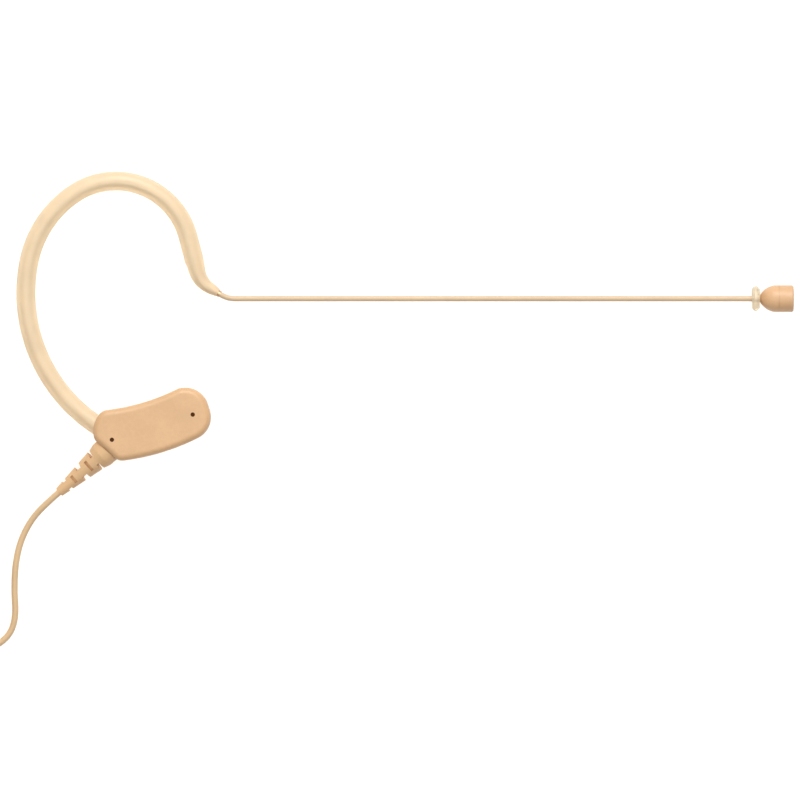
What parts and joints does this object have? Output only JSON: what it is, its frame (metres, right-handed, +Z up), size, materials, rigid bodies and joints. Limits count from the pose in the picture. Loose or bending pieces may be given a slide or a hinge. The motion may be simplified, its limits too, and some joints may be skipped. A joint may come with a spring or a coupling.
{
  "type": "headset microphone",
  "caption": "Over-ear microphone: soft ear hook, thin swivelling boom with capsule and moisture ring, pod behind the ear, strain relief, coiled thin cable and locking plug.",
  "frame": {"origin": "on the table, under the middle of the headset without its free cable and plug", "axes": "+X along the straight boom towards the capsule, +Y towards the top of the ear hook, +Z up from the table"},
  "size_m": [0.2096, 0.1084, 0.0117],
  "materials": {
    "tube_silicone": "translucent, satin",
    "pod_plastic": "fine matte texture",
    "boom_coat": "satin",
    "capsule_plastic": "satin",
    "ring_silicone": "translucent",
    "relief_rubber": "matte",
    "cable_jacket": "matte",
    "steel": "satin",
    "pin_steel": "blackened",
    "ferrule_metal": "coated, satin",
    "lead_jacket": "matte",
    "board": "solder mask",
    "black_part": "matte",
    "core_insulation": "gloss",
    "brass": "gold plated",
    "diaphragm_film": "metallised film",
    "plug_metal": "satin nickel",
    "plug_black": "matte",
    "boot_rubber": "matte",
    "tie_rubber": "matte, moulded"
  },
  "bodies": {
    "headset": {"ear_tube": "tube_silicone", "former_wire": "steel", "hook_lead": "lead_jacket", "nose_ferrule": "ferrule_metal", "pod_front_shell": "pod_plastic", "pod_back_shell": "pod_plastic", "pod_pins": "pin_steel", "junction_board": "board", "board_parts": "black_part", "cable_cores": "core_insulation", "strain_relief": "relief_rubber", "cable_inner": "cable_jacket", "cable": "cable_jacket", "cable_coil": "cable_jacket", "cable_tail": "cable_jacket", "cable_tie": "tie_rubber", "plug_boot": "boot_rubber", "plug_back_nut": "plug_black", "plug_shell": "plug_metal", "plug_insert": "plug_black", "plug_contacts": "brass", "plug_clamp": "steel", "plug_cable_end": "cable_jacket", "plug_cores": "core_insulation", "latch_spring": "steel"},
    "boom": {"boom_tube": "boom_coat", "boom_stop_collar": "steel", "boom_lead": "lead_jacket", "capsule_holder": "capsule_plastic", "electret_can": "steel", "diaphragm_ring": "brass", "diaphragm": "diaphragm_film", "back_plate": "brass", "capsule_board": "board", "capsule_gasket": "boot_rubber"},
    "cap": {"capsule_cap": "capsule_plastic", "cap_screen": "steel"},
    "ring": {"moisture_ring": "ring_silicone"},
    "latch": {"latch_button": "steel"}
  },
  "joints": [
    {"name": "boom_swivel", "type": "hinge", "parent": "headset", "child": "boom", "pos_m": [-0.04261, 0.00971, 0.00295], "axis": [-0.848, 0.5296, -0.017], "range_deg": [-35, 35]},
    {"name": "ring_slide", "type": "slide", "parent": "boom", "child": "ring", "axis": [1, 0, 0], "range_m": [-0.11, 0]},
    {"name": "cap_pull", "type": "slide", "parent": "boom", "child": "cap", "axis": [1, 0, 0], "range_m": [0, 0.006]},
    {"name": "latch_press", "type": "slide", "parent": "headset", "child": "latch", "axis": [0, 0, -1], "range_m": [0, 0.0005], "stiffness_N_per_m": 300, "deforming": ["latch_spring"]}
  ]
}
